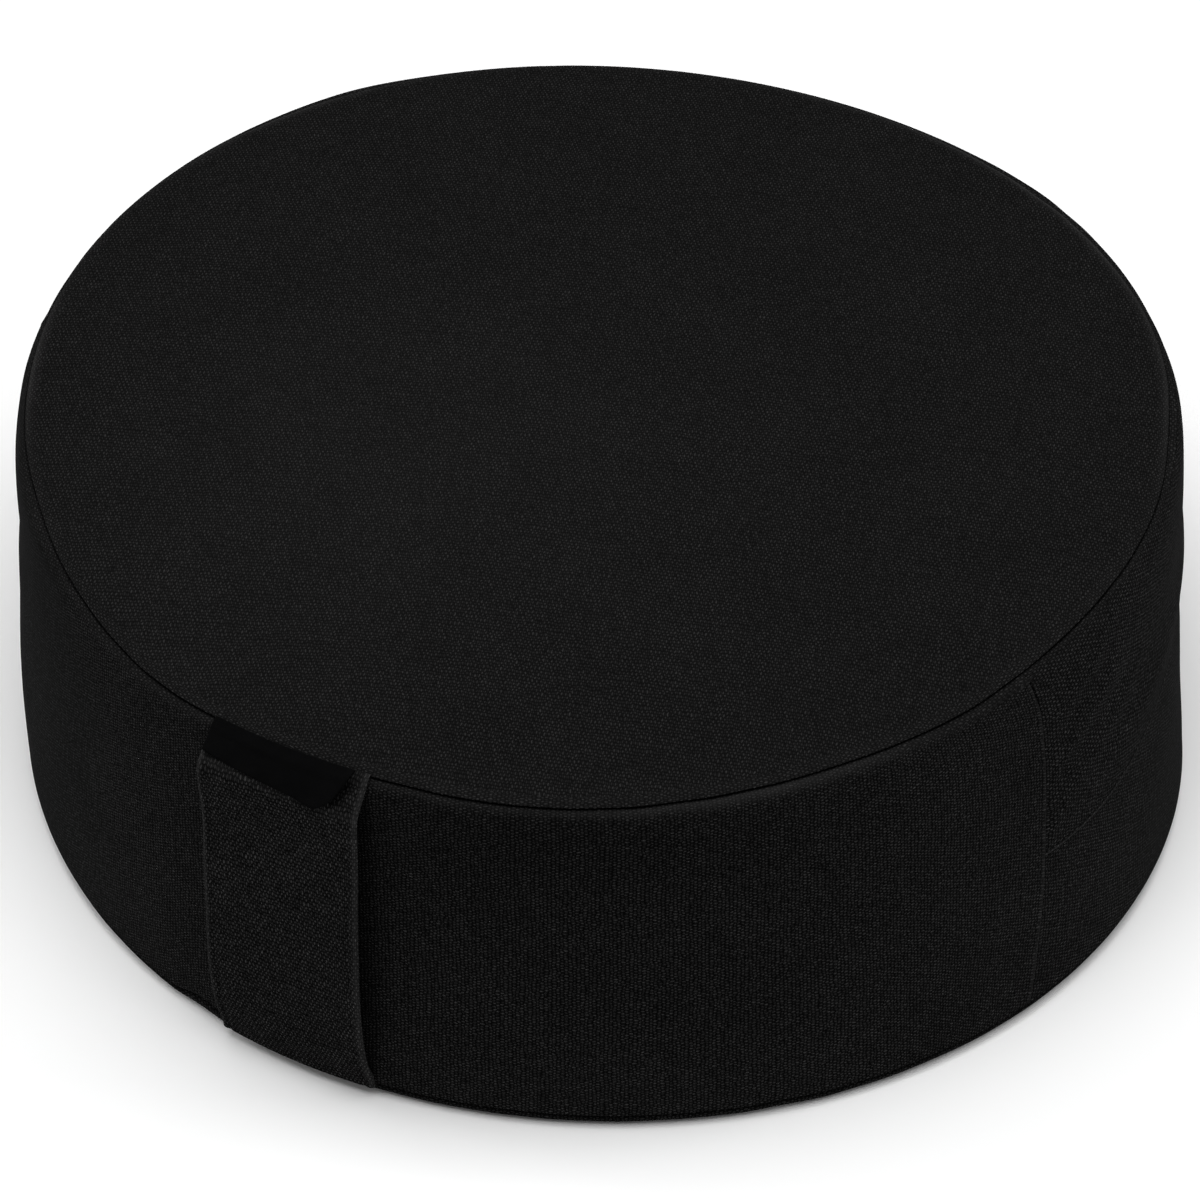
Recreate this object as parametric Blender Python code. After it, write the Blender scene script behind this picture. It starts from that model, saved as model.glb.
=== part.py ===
"""Round meditation cushion with a carrying strap on its side.

One filled canvas body, a wide strap sewn over its band, a plain label on the strap's
upper end, and the flap that laps over the zip round the back of the band.

Metres, +Z up. The cushion rests on z = 0 with its centre on the Z axis, and the strap
is on the -Y side. An azimuth is an angle round the Z axis in degrees: 0 is the middle
of the strap, and it grows towards +X.
"""

from collections import namedtuple
import math

import bmesh
import bpy

# ---------------------------------------------------------------- driving dimensions

TOP_SEAM_RADIUS = 0.1950
TOP_SEAM_HEIGHT = 0.1408
BASE_SEAM_RADIUS = 0.2015
BASE_SEAM_HEIGHT = 0.0055
CROWN = 0.0095
CROWN_FLATNESS = 2.4

# The band swells between its seams, and a little more at its upper end. A flatness of 2 is
# an even round, and a high one turns sharply at the seam.
BAND_BULGE = 0.0022
SHOULDER_SWELL = 0.0013
UPPER_FLATNESS = 24.0
LOWER_FLATNESS = 2.5

# It swells more round the back, opposite the strap.
BACK_SWELL = 0.0015
BACK_SWELL_AT = 197.0
BACK_SWELL_REACH = 65.0
BACK_SWELL_FADE = 20.0

STRAP_WIDTH = 0.060
STRAP_THICKNESS = 0.0018
LABEL_WIDTH = 0.0555
LABEL_THICKNESS = 0.0010
LABEL_SHIFT = -0.0018
LAP_THICKNESS = 0.0015
SEAT_GAP = 0.0003

# The stuffed rounds are not true circles: each lobe row pushes a seam outwards where it
# points and pulls it in between.
Lobe = namedtuple("Lobe", "count amount towards")
TOP_LOBES = (
    Lobe(count=1, amount=0.0015, towards=20.0),
    Lobe(count=2, amount=0.0010, towards=70.0),
    Lobe(count=3, amount=0.0030, towards=12.2),
)
BASE_LOBES = (
    Lobe(count=1, amount=0.0028, towards=104.4),
    Lobe(count=2, amount=0.0043, towards=67.6),
    Lobe(count=3, amount=0.0020, towards=101.8),
)
TOP_TILT = Lobe(count=1, amount=0.0020, towards=119.7)

# The strap's stitches hold the top seam up where it is sewn in.
STRAP_LIFT = 0.0030
STRAP_LIFT_AT = 6.0
STRAP_LIFT_REACH = 24.0

# The band gives way behind the strap, where a hand goes in.
HAND_HOLLOW = 0.0026
HAND_HOLLOW_REACH = 20.0

# Seams are grooves between two stuffed edges.
GROOVE_DEPTH = 0.0026
UPRIGHT_GROOVE = 0.0021
PANEL_ROLL_RISE = 0.0026
PANEL_ROLL_WIDTH = 0.0050
BASE_ROLL_WIDTH = 0.0070

# Where the rolled edges of the two panels pass, as shares of the way in from the seam and
# of the way up from the seam or the floor.
RollPoint = namedtuple("RollPoint", "inwards upwards")
PANEL_ROLL = (RollPoint(inwards=0.30, upwards=0.62),)
BASE_ROLL = (RollPoint(inwards=0.08, upwards=0.62), RollPoint(inwards=0.34, upwards=0.14))

# The band's two lengths meet at upright seams on both sides of the strap. The lower edge
# of the zip flap starts low at each and climbs towards the back.
UPRIGHT_SEAM_AT = 77.5
LAP_LOW_HEIGHT = 0.0635
LAP_BACK_HEIGHT = 0.0800
LAP_CLIMB_FROM = 6.0
LAP_CLIMB_REACH = 28.0
LAP_TOP_DROP = 0.0016

# How far under the flap's edge the body comes out level with the flap again.
LAP_SETTLE = 0.030

# ------------------------------------------------------------------ mesh resolution

COLUMN_STEP = 5.0
SEAM_SHOULDER = 0.8
LAP_START = 0.4
PANEL_RINGS = (0.16, 0.34, 0.52, 0.68, 0.82, 0.92)
BASE_RINGS = (0.5,)
UPPER_BAND_ROWS = 5
LOWER_BAND_ROWS = 5
STRAP_COLUMNS = 8
LABEL_COLUMNS = 6

# The strap's inner face from its upper end to its lower end. "level" is 1 at the top seam
# and 0 at the base seam. "gap" is its distance from the band at its middle. "hug" is 1
# where it follows the round of the band and 0 where it is flat across. "lean" is how much
# further out its +X edge is than its middle.
Station = namedtuple("Station", "level gap hug lean")
STRAP_STATIONS = (
    Station(level=0.997, gap=0.0010, hug=1.00, lean=0.0000),
    Station(level=0.980, gap=0.0009, hug=1.00, lean=-0.0004),
    Station(level=0.953, gap=0.0037, hug=0.75, lean=-0.0012),
    Station(level=0.925, gap=0.0063, hug=0.50, lean=-0.0014),
    Station(level=0.890, gap=0.0070, hug=0.35, lean=-0.0008),
    Station(level=0.756, gap=0.0068, hug=0.20, lean=0.0004),
    Station(level=0.608, gap=0.0070, hug=0.05, lean=0.0008),
    Station(level=0.460, gap=0.0072, hug=0.00, lean=0.0010),
    Station(level=0.311, gap=0.0072, hug=0.05, lean=0.0008),
    Station(level=0.193, gap=0.0060, hug=0.25, lean=0.0006),
    Station(level=0.104, gap=0.0036, hug=0.60, lean=0.0004),
    Station(level=0.048, gap=0.0012, hug=0.90, lean=0.0000),
    Station(level=0.022, gap=0.0005, hug=1.00, lean=0.0000),
    Station(level=0.002, gap=0.0005, hug=1.00, lean=0.0000),
)
LABEL_STATIONS = slice(0, 4)

# Broad soft dips and swells of the top panel: azimuth, share of the radius, size, reach.
Swell = namedtuple("Swell", "azimuth share rise reach")
TOP_SWELLS = (
    Swell(azimuth=40.0, share=0.10, rise=0.0010, reach=0.060),
    Swell(azimuth=285.0, share=0.55, rise=-0.0012, reach=0.055),
    Swell(azimuth=185.0, share=0.70, rise=-0.0010, reach=0.060),
    Swell(azimuth=90.0, share=0.60, rise=-0.0008, reach=0.050),
    Swell(azimuth=250.0, share=0.85, rise=0.0010, reach=0.045),
)


# ------------------------------------------------------------------- cushion's form

def lobe_offset(lobes, azimuth):
    """Return how far a seam is pushed out of round at an azimuth."""
    return sum(
        lobe.amount * math.cos(math.radians(lobe.count * (azimuth - lobe.towards)))
        for lobe in lobes
    )


def turn_between(azimuth, centre):
    """Return the angle from centre to azimuth, between -180 and 180 degrees."""
    return (azimuth - centre + 180.0) % 360.0 - 180.0


def soft_window(azimuth, centre, reach):
    """Return 1 at centre, falling smoothly to 0 at reach degrees to either side."""
    turn = abs(turn_between(azimuth, centre))
    if turn >= reach:
        return 0.0
    return 0.5 + 0.5 * math.cos(math.pi * turn / reach)


def smooth_step(share):
    """Return share clamped to 0..1 and eased at both ends."""
    share = min(max(share, 0.0), 1.0)
    return share * share * (3.0 - 2.0 * share)


def top_seam(azimuth):
    """Return the top seam's radius and height."""
    radius = TOP_SEAM_RADIUS + lobe_offset(TOP_LOBES, azimuth)
    lift = STRAP_LIFT * soft_window(azimuth, STRAP_LIFT_AT, STRAP_LIFT_REACH)
    height = TOP_SEAM_HEIGHT + lobe_offset((TOP_TILT,), azimuth) + lift
    return radius, height


def base_seam(azimuth):
    """Return the base seam's radius and height."""
    return BASE_SEAM_RADIUS + lobe_offset(BASE_LOBES, azimuth), BASE_SEAM_HEIGHT


def wall_radius(azimuth, height):
    """Return the radius of the band's outer face, zip flap included."""
    top_radius, top_height = top_seam(azimuth)
    base_radius, base_height = base_seam(azimuth)
    level = (height - base_height) / (top_height - base_height)
    swing = 2.0 * level - 1.0
    flatness = UPPER_FLATNESS if swing > 0.0 else LOWER_FLATNESS
    inside = BACK_SWELL_REACH - abs(turn_between(azimuth, BACK_SWELL_AT))
    shoulder = SHOULDER_SWELL + BACK_SWELL * smooth_step(inside / BACK_SWELL_FADE)
    swell = BAND_BULGE + shoulder * smooth_step((level - 0.45) / 0.40)
    bulge = swell * math.sqrt(max(0.0, 1.0 - abs(swing) ** flatness))
    hollow = HAND_HOLLOW * soft_window(azimuth, 0.0, HAND_HOLLOW_REACH)
    hollow *= smooth_step(4.0 * level) * smooth_step(4.0 - 4.0 * level)
    return base_radius + (top_radius - base_radius) * level + bulge - hollow


def on_back_length(azimuth):
    """Return True on the length of the band that has the zip."""
    return abs(turn_between(azimuth, 180.0)) < 180.0 - UPRIGHT_SEAM_AT - LAP_START / 2.0


def lap_height(azimuth):
    """Return the height of the zip flap's lower edge."""
    past_seam = abs(turn_between(azimuth, 0.0)) - UPRIGHT_SEAM_AT
    climb = smooth_step((past_seam - LAP_CLIMB_FROM) / LAP_CLIMB_REACH)
    return LAP_LOW_HEIGHT + (LAP_BACK_HEIGHT - LAP_LOW_HEIGHT) * climb


def body_inset(azimuth, height):
    """Return how far the filled body lies inside the band's outer face."""
    turn = abs(turn_between(azimuth, 0.0))
    if abs(turn - UPRIGHT_SEAM_AT) < LAP_START / 2.0:
        return UPRIGHT_GROOVE
    if not on_back_length(azimuth):
        return 0.0
    below_edge = lap_height(azimuth) - height
    return (LAP_THICKNESS + SEAT_GAP) * (1.0 - smooth_step(below_edge / LAP_SETTLE))


def column_azimuths():
    """Return the azimuths of the body's mesh columns, with close ones at the upright seams."""
    seams = (UPRIGHT_SEAM_AT, 360.0 - UPRIGHT_SEAM_AT)
    count = round(360.0 / COLUMN_STEP)
    azimuths = [
        step * COLUMN_STEP
        for step in range(count)
        if min(abs(step * COLUMN_STEP - seam) for seam in seams) > COLUMN_STEP / 2.0
    ]
    for seam, side in zip(seams, (1.0, -1.0)):
        azimuths += [seam - side * SEAM_SHOULDER, seam, seam + side * LAP_START]
    return sorted(azimuths)


def upper_band_heights(azimuth):
    """Return row heights from just under the top seam down to the zip flap's lower edge."""
    top = top_seam(azimuth)[1] - LAP_TOP_DROP
    edge = lap_height(azimuth)
    rows = [(row / UPPER_BAND_ROWS) ** 1.5 for row in range(UPPER_BAND_ROWS + 1)]
    return [top + (edge - top) * share for share in rows]


def lower_band_heights(azimuth):
    """Return row heights from under the zip flap's edge down to just over the base seam."""
    edge = lap_height(azimuth)
    base = BASE_SEAM_HEIGHT + LAP_TOP_DROP
    rows = [1.0 - (1.0 - row / LOWER_BAND_ROWS) ** 1.5 for row in range(1, LOWER_BAND_ROWS + 1)]
    return [edge + (base - edge) * share for share in rows]


def polar_point(azimuth, radius, height):
    """Return a point from its azimuth, radius and height."""
    angle = math.radians(azimuth)
    return (radius * math.sin(angle), -radius * math.cos(angle), height)


def top_swell(azimuth, radius):
    """Return the rise of the top panel's broad swells at a place on it."""
    here_x, here_y, _ = polar_point(azimuth, radius, 0.0)
    rise = 0.0
    for swell in TOP_SWELLS:
        x, y, _ = polar_point(swell.azimuth, swell.share * TOP_SEAM_RADIUS, 0.0)
        distance = math.hypot(here_x - x, here_y - y)
        rise += swell.rise * math.exp(-((distance / swell.reach) ** 2))
    return rise


def panel_height(azimuth, share):
    """Return the top panel's height at a share of the way out to its rolled edge."""
    seam_radius, seam_height = top_seam(azimuth)
    tilt = share * share * (seam_height - TOP_SEAM_HEIGHT)
    crown = CROWN * (1.0 - share**CROWN_FLATNESS)
    swell = top_swell(azimuth, share * seam_radius) * (1.0 - share**6)
    return TOP_SEAM_HEIGHT + tilt + PANEL_ROLL_RISE + crown + swell


def body_column(azimuth):
    """Return the body's profile at one azimuth, as (radius, height) from top to base."""
    seam_radius, seam_height = top_seam(azimuth)
    base_radius, base_height = base_seam(azimuth)
    panel_radius = seam_radius - PANEL_ROLL_WIDTH
    profile = [(share * panel_radius, panel_height(azimuth, share)) for share in PANEL_RINGS]
    profile.append((panel_radius, seam_height + PANEL_ROLL_RISE))
    for point in PANEL_ROLL:
        profile.append((
            seam_radius - point.inwards * PANEL_ROLL_WIDTH,
            seam_height + point.upwards * PANEL_ROLL_RISE,
        ))
    profile.append((seam_radius - GROOVE_DEPTH, seam_height))
    for height in upper_band_heights(azimuth) + lower_band_heights(azimuth):
        inset = body_inset(azimuth, height)
        profile.append((wall_radius(azimuth, height) - inset, height))
    profile.append((base_radius - GROOVE_DEPTH, base_height))
    for point in BASE_ROLL:
        profile.append((
            base_radius - point.inwards * BASE_ROLL_WIDTH,
            point.upwards * base_height,
        ))
    profile.append((base_radius - BASE_ROLL_WIDTH, 0.0))
    profile += [(share * BASE_SEAM_RADIUS, 0.0) for share in BASE_RINGS]
    return profile


# ------------------------------------------------------------------------- meshes

def new_object(name, mesh_builder, material):
    """Make a named, smoothly shaded object from a bmesh and its material."""
    bmesh.ops.recalc_face_normals(mesh_builder, faces=mesh_builder.faces)
    mesh = bpy.data.meshes.new(name)
    mesh_builder.to_mesh(mesh)
    mesh_builder.free()
    mesh.materials.append(material)
    mesh.shade_smooth()
    mesh.set_sharp_from_angle(angle=math.radians(50.0))
    piece = bpy.data.objects.new(name, mesh)
    bpy.context.scene.collection.objects.link(piece)
    return piece


def cloth_material(name, colour, roughness):
    """Make a plain cloth material."""
    material = bpy.data.materials.new(name)
    material.use_nodes = True
    shader = material.node_tree.nodes["Principled BSDF"]
    shader.inputs["Base Color"].default_value = (*colour, 1.0)
    shader.inputs["Roughness"].default_value = roughness
    shader.inputs["Metallic"].default_value = 0.0
    return material


def bridge_columns(builder, left, right):
    """Fill the strip of quads between two columns of vertices."""
    for upper in range(len(left) - 1):
        builder.faces.new((left[upper], left[upper + 1], right[upper + 1], right[upper]))


def make_cushion(material):
    """Make the filled body from its profile at every column."""
    builder = bmesh.new()
    top = builder.verts.new((0.0, 0.0, panel_height(0.0, 0.0)))
    base = builder.verts.new((0.0, 0.0, 0.0))
    columns = []
    for azimuth in column_azimuths():
        points = [polar_point(azimuth, *place) for place in body_column(azimuth)]
        columns.append([builder.verts.new(point) for point in points])
    for left, right in zip(columns, columns[1:] + columns[:1]):
        bridge_columns(builder, left, right)
        builder.faces.new((top, left[0], right[0]))
        builder.faces.new((base, right[-1], left[-1]))
    return new_object("cushion", builder, material)


def make_sheet(name, outer, inner, material):
    """Make a closed sheet from the columns of points of its outer and inner faces."""
    builder = bmesh.new()
    faces = [
        [[builder.verts.new(point) for point in column] for column in side]
        for side in (outer, inner)
    ]
    for side in faces:
        for left, right in zip(side, side[1:]):
            bridge_columns(builder, left, right)
    bridge_columns(builder, faces[0][0], faces[1][0])
    bridge_columns(builder, faces[0][-1], faces[1][-1])
    for end in (0, -1):
        bridge_columns(
            builder,
            [column[end] for column in faces[0]],
            [column[end] for column in faces[1]],
        )
    return new_object(name, builder, material)


def make_zip_lap(material):
    """Make the flap over the zip, which covers the upper part of the back length."""
    outer = []
    inner = []
    for azimuth in column_azimuths():
        if not on_back_length(azimuth):
            continue
        heights = upper_band_heights(azimuth)
        radii = [wall_radius(azimuth, height) for height in heights]
        outer.append([polar_point(azimuth, *place) for place in zip(radii, heights)])
        radii = [radius - LAP_THICKNESS for radius in radii]
        inner.append([polar_point(azimuth, *place) for place in zip(radii, heights)])
    return make_sheet("zip_lap", outer, inner, material)


def wall_point(x, level):
    """Return the place of the band's outer face on the strap's side, as (y, height)."""
    azimuth = math.degrees(math.asin(x / TOP_SEAM_RADIUS))
    top_height = top_seam(azimuth)[1]
    height = BASE_SEAM_HEIGHT + level * (top_height - BASE_SEAM_HEIGHT)
    radius = wall_radius(azimuth, height)
    return -math.sqrt(radius * radius - x * x), height


def strap_path(across):
    """Return the strap's inner face at a place across it (-1..1), as (y, height) points."""
    path = []
    for station in STRAP_STATIONS:
        middle, _ = wall_point(0.0, station.level)
        beside, height = wall_point(across * STRAP_WIDTH / 2.0, station.level)
        reach = middle + station.hug * (beside - middle)
        path.append((reach - station.gap - station.lean * across, height))
    return path


def offset_path(path, distance):
    """Return a path of (y, height) points moved outwards, square to itself."""
    moved = []
    for index, (y, height) in enumerate(path):
        before = path[max(index - 1, 0)]
        after = path[min(index + 1, len(path) - 1)]
        run_y = after[0] - before[0]
        run_height = after[1] - before[1]
        length = math.hypot(run_y, run_height)
        moved.append((
            y + distance * run_height / length,
            height - distance * run_y / length,
        ))
    return moved


def strap_columns(lift, width, shift, count, stations=slice(None)):
    """Return columns of points that lie a given lift outside the strap's inner face."""
    columns = []
    for step in range(count + 1):
        x = shift + width * (step / count - 0.5)
        path = offset_path(strap_path(2.0 * x / STRAP_WIDTH), lift)
        columns.append([(x, y, height) for y, height in path[stations]])
    return columns


def make_strap(material):
    """Make the carrying strap."""
    outer = strap_columns(STRAP_THICKNESS, STRAP_WIDTH, 0.0, STRAP_COLUMNS)
    inner = strap_columns(0.0, STRAP_WIDTH, 0.0, STRAP_COLUMNS)
    return make_sheet("handle_strap", outer, inner, material)


def make_label(material):
    """Make the plain label on the strap's upper end."""
    low = STRAP_THICKNESS + SEAT_GAP
    high = low + LABEL_THICKNESS
    place = (LABEL_WIDTH, LABEL_SHIFT, LABEL_COLUMNS, LABEL_STATIONS)
    return make_sheet("label", strap_columns(high, *place), strap_columns(low, *place), material)


# -------------------------------------------------------------------------- build

def clear_scene():
    """Remove whatever the scene holds."""
    for leftover in list(bpy.data.objects):
        bpy.data.objects.remove(leftover, do_unlink=True)


def build():
    """Make every piece of the cushion."""
    clear_scene()
    make_cushion(cloth_material("black_canvas", (0.0105, 0.0102, 0.0100), 0.90))
    make_zip_lap(cloth_material("zip_flap_canvas", (0.0108, 0.0105, 0.0103), 0.90))
    make_strap(cloth_material("strap_canvas", (0.0115, 0.0112, 0.0110), 0.88))
    make_label(cloth_material("label_cloth", (0.0030, 0.0029, 0.0030), 0.60))


build()
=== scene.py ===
"""Looks of the round meditation cushion: its canvas, seams, strap, label and zip flap.

Metres, in the frame of the CAD part: the cushion rests on z = 0 with its centre on the Z
axis, and the strap is on the -Y side. An azimuth is an angle round the Z axis in degrees:
0 is the middle of the strap, and it grows towards +X.
"""

from collections import namedtuple
import math

import bpy
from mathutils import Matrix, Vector
from mathutils.bvhtree import BVHTree
import numpy as np


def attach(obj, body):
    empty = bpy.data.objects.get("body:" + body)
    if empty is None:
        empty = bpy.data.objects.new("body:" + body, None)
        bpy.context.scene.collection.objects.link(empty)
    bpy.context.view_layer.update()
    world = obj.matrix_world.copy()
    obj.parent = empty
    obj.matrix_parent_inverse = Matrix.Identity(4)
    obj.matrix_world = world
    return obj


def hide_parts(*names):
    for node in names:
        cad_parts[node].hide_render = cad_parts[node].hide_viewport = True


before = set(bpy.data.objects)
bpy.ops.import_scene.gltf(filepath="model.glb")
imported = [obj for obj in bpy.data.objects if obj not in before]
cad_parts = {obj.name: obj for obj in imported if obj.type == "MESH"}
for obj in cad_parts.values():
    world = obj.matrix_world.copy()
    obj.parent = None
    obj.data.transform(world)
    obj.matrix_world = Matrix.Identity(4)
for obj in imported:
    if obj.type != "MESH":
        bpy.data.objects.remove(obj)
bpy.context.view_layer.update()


def table(fields, *rows):
    """Return rows of values as tuples whose fields have names."""
    named = namedtuple("Row", fields)
    return tuple(named(*row) for row in rows)


# ------------------------------ form of the CAD solids
# These repeat the part's driving dimensions. Here and below, a pair of ENDS is the shares
# of a run over which something eases in at its start and out at its end, and a BEND is a
# power, which brings rows closer at one end or makes a curve turn later.

TOP_SEAM_RADIUS = 0.1950
TOP_SEAM_HEIGHT = 0.1408
BASE_SEAM_RADIUS = 0.2015
BASE_SEAM_HEIGHT = 0.0055
CROWN = 0.0095
CROWN_FLATNESS = 2.4
BAND_BULGE = 0.0022
SHOULDER_SWELL = 0.0013
SHOULDER_FROM = 0.45
SHOULDER_REACH = 0.40
UPPER_FLATNESS = 24.0
LOWER_FLATNESS = 2.5
BACK_SWELL = 0.0015
BACK_SWELL_AT = 197.0
BACK_SWELL_REACH = 65.0
BACK_SWELL_FADE = 20.0
PANEL_ROLL_RISE = 0.0026
PANEL_ROLL_WIDTH = 0.0050
BASE_ROLL_WIDTH = 0.0070

TOP_LOBES = table(
    "count amount towards",
    (1, 0.0015, 20.0),
    (2, 0.0010, 70.0),
    (3, 0.0030, 12.2),
)
BASE_LOBES = table(
    "count amount towards",
    (1, 0.0028, 104.4),
    (2, 0.0043, 67.6),
    (3, 0.0020, 101.8),
)
TOP_TILT = table("count amount towards", (1, 0.0020, 119.7))
STRAP_LIFT = 0.0030
STRAP_LIFT_AT = 6.0
STRAP_LIFT_REACH = 24.0
HAND_HOLLOW = 0.0026
HAND_HOLLOW_REACH = 20.0
HAND_HOLLOW_ENDS = (0.25, 0.25)

TOP_SWELLS = table(
    "azimuth share rise reach",
    (40.0, 0.10, 0.0010, 0.060),
    (285.0, 0.55, -0.0012, 0.055),
    (185.0, 0.70, -0.0010, 0.060),
    (90.0, 0.60, -0.0008, 0.050),
    (250.0, 0.85, 0.0010, 0.045),
)
TOP_SWELL_FADE = 6

UPRIGHT_SEAM_AT = 77.5
LAP_LOW_HEIGHT = 0.0635
LAP_BACK_HEIGHT = 0.0800
LAP_CLIMB_FROM = 6.0
LAP_CLIMB_REACH = 28.0
LAP_SETTLE = 0.030
LAP_THICKNESS = 0.0015
SEAT_GAP = 0.0003

STRAP_WIDTH = 0.060
STRAP_THICKNESS = 0.0018
LABEL_WIDTH = 0.0555
LABEL_THICKNESS = 0.0010
LABEL_SHIFT = -0.0018

# The strap's inner face from its upper end to its lower end, as in the part.
STRAP_STATIONS = table(
    "level gap hug lean",
    (0.997, 0.0010, 1.00, 0.0000),
    (0.980, 0.0009, 1.00, -0.0004),
    (0.953, 0.0037, 0.75, -0.0012),
    (0.925, 0.0063, 0.50, -0.0014),
    (0.890, 0.0070, 0.35, -0.0008),
    (0.756, 0.0068, 0.20, 0.0004),
    (0.608, 0.0070, 0.05, 0.0008),
    (0.460, 0.0072, 0.00, 0.0010),
    (0.311, 0.0072, 0.05, 0.0008),
    (0.193, 0.0060, 0.25, 0.0006),
    (0.104, 0.0036, 0.60, 0.0004),
    (0.048, 0.0012, 0.90, 0.0000),
    (0.022, 0.0005, 1.00, 0.0000),
    (0.002, 0.0005, 1.00, 0.0000),
)

# ------------------------------ sewn detail

# The turned edges on both sides of the top seam and of the base seam, from the panel's
# side to the band's: how far out from the seam, how far up, the cloth's painted light and
# shade there (painted shade in the groove, painted highlights on the rolls), and how much
# of the rim's painted highlight it takes.
TOP_SEAM_SECTION = table(
    "out up shade wear",
    (-0.00360, 0.00238, 1.05, 0.10),
    (-0.00210, 0.00208, 1.10, 0.35),
    (-0.00090, 0.00150, 1.15, 1.00),
    (-0.00020, 0.00076, 1.20, 0.30),
    (-0.00032, 0.00052, 0.35, 0.00),
    (-0.00240, 0.00004, 0.05, 0.00),
    (-0.00045, -0.00026, 0.22, 0.00),
    (0.00050, -0.00034, 1.10, 0.00),
)
BAND_START = -0.0009
# The band's lip under the top seam is painted lighter, a painted highlight that fades down the
# band.
LIP_SHADE = 1.10
LIP_FADE = 0.0020
BASE_SEAM_SECTION = table(
    "out up shade wear",
    (0.00060, 0.00110, 1.10, 0.00),
    (0.00010, 0.00050, 0.80, 0.00),
    (-0.00090, 0.00024, 0.40, 0.00),
    (-0.00240, 0.00000, 0.20, 0.00),
    (-0.00110, -0.00030, 0.40, 0.00),
    (-0.00045, -0.00110, 0.80, 0.00),
    (-0.00080, -0.00250, 1.00, 0.00),
    (-0.00200, -0.00410, 1.00, 0.00),
    (-0.00370, -0.00510, 1.00, 0.00),
)

# Where the top seam strays from the part's smooth one, and where the base seam is pulled
# up beside the strap's foot. Reaches are in degrees.
TOP_STRAYS = table(
    "azimuth out up reach",
    (-46.0, -0.0008, 0.0, 7.0),
    (-20.0, 0.0, -0.0018, 9.0),
    (0.0, 0.0, 0.0008, 7.0),
    (68.0, 0.0, -0.0019, 9.0),
    (116.0, -0.0014, 0.0, 8.0),
)
FOOT_LIFT = 0.0030
FOOT_LIFT_AT = -11.5
FOOT_LIFT_REACH = 5.0

# Painted highlights: lighter stretches of the rim's roll and of the band's lip under it.
RIM_HIGHLIGHTS = table(
    "azimuth amount reach",
    (158.0, 2.1, 28.0),
    (242.0, 1.9, 13.0),
    (291.0, 1.3, 11.0),
    (120.0, 0.6, 8.0),
)
LIP_HIGHLIGHTS = table("azimuth amount reach", (46.0, 0.7, 13.0))
SEAM_STEPS = 3

# The upright seams: a groove, deep and painted dark (painted shade) only near the top
# seam, with a rolled edge on the side of the strap that carries a painted highlight.
UPRIGHT_DRIFT = 2.8
UPRIGHT_DRIFT_REACH = 22.0
UPRIGHT_SWAY = 1.0
UPRIGHT_FORWARD = 0.34
UPRIGHT_TOP_TURN = 1.05
UPRIGHT_TOP_TURN_REACH = 0.14
UPRIGHT_TOP_TURN_BEND = 1.6
UPRIGHT_DEEP_FROM = 0.86
UPRIGHT_DEEP_FADE = 0.08
UPRIGHT_GROOVE_DEPTH = 0.0010
UPRIGHT_GROOVE_WIDTH = 0.0006
UPRIGHT_DROP_WIDTH = 0.0004
UPRIGHT_ROLL_RISE = 0.0005
UPRIGHT_ROLL_WIDTH = 0.0005
UPRIGHT_ROLL_OFF = 0.0005

# The zip flap: its ends start just past the upright seams, its folded lower edge has a row
# of stitching, and it swells a little above that.
LAP_START = 0.10
LAP_END_DIP = 0.0002
LAP_END_REACH = 0.0012
LAP_STITCH_UP = 0.0017
LAP_STITCH_DEPTH = 0.0005
LAP_STITCH_WIDTH = 0.0005
LAP_SWELL_UP = 0.0150
LAP_SWELL_RISE = 0.0011
LAP_SWELL_REACH = 0.0085

# The small waver of both seams: its seed, its height and its waves round the cushion.
RIPPLE_SEED = 11
SEAM_RIPPLE = 0.00018
RIPPLE_COUNTS = range(17, 60, 6)

# Where the filled band bulges or dips a little, as its outline shows: how high, how much,
# and its reach round the band and up it.
LUMPS = table(
    "azimuth height rise round_reach up_reach",
    (-61.0, 0.136, -0.0010, 0.020, 0.006),
    (-61.0, 0.106, -0.0016, 0.040, 0.013),
    (-61.0, 0.045, 0.0006, 0.050, 0.022),
    (118.0, 0.100, -0.0004, 0.040, 0.018),
    (118.0, 0.068, 0.0009, 0.050, 0.010),
    (118.0, 0.040, -0.0013, 0.050, 0.030),
    (157.0, 0.139, 0.0008, 0.030, 0.008),
    (235.0, 0.139, 0.0012, 0.024, 0.008),
    (275.0, 0.139, -0.0007, 0.045, 0.008),
)
LUMP_ENDS = (0.06, 0.006)

# Broad patches painted lighter or darker. On the band they are painted light and shade:
# darker under the top seam, on its front and on its upper left, lighter near the floor. On
# the top panel, the middle is painted lighter and the front darker, as painted shade.
PAINTED_TOP_PATCHES = table(
    "azimuth share amount reach",
    (-31.0, 0.40, 0.18, 0.090),
    (60.0, 0.75, -0.05, 0.050),
    (20.0, 0.88, -0.07, 0.045),
)
PAINTED_BAND_PATCHES = table(
    "azimuth height amount round_reach up_reach",
    (25.0, 0.070, -0.10, 0.080, 0.050),
    (52.0, 0.070, -0.04, 0.035, 0.040),
    (30.0, 0.010, 0.12, 0.070, 0.030),
    (20.0, 0.132, -0.23, 0.110, 0.030),
    (-45.0, 0.120, -0.20, 0.060, 0.040),
    (-24.0, 0.025, 0.14, 0.040, 0.030),
    (95.0, 0.040, 0.12, 0.060, 0.040),
)

# ------------------------------ cloth simulation

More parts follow.
